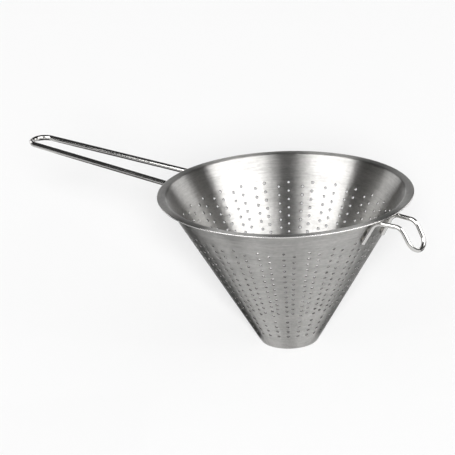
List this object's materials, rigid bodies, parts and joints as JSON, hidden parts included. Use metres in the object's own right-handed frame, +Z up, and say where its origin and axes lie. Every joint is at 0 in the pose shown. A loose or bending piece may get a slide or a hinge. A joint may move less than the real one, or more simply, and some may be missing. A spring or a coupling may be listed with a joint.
{
  "type": "conical strainer",
  "caption": "Conical metal strainer with a flat rim, a perforated cone, a long wire loop handle and a small wire hook opposite.",
  "frame": {"origin": "centre of the underside of the bowl's small flat bottom, on the bowl's axis", "axes": "+Z up the bowl's axis to its rim, +X out to the hook, -X out along the handle"},
  "size_m": [0.3918, 0.2, 0.1227],
  "materials": {
    "brushed_sheet": "fine circular brushing",
    "polished_wire": "polished round wire",
    "weld_metal": "dull weld"
  },
  "bodies": {
    "root": {"strainer_bowl": "brushed_sheet", "handle": "polished_wire", "hook": "polished_wire", "handle_welds": "weld_metal", "hook_welds": "weld_metal"}
  },
  "joints": []
}
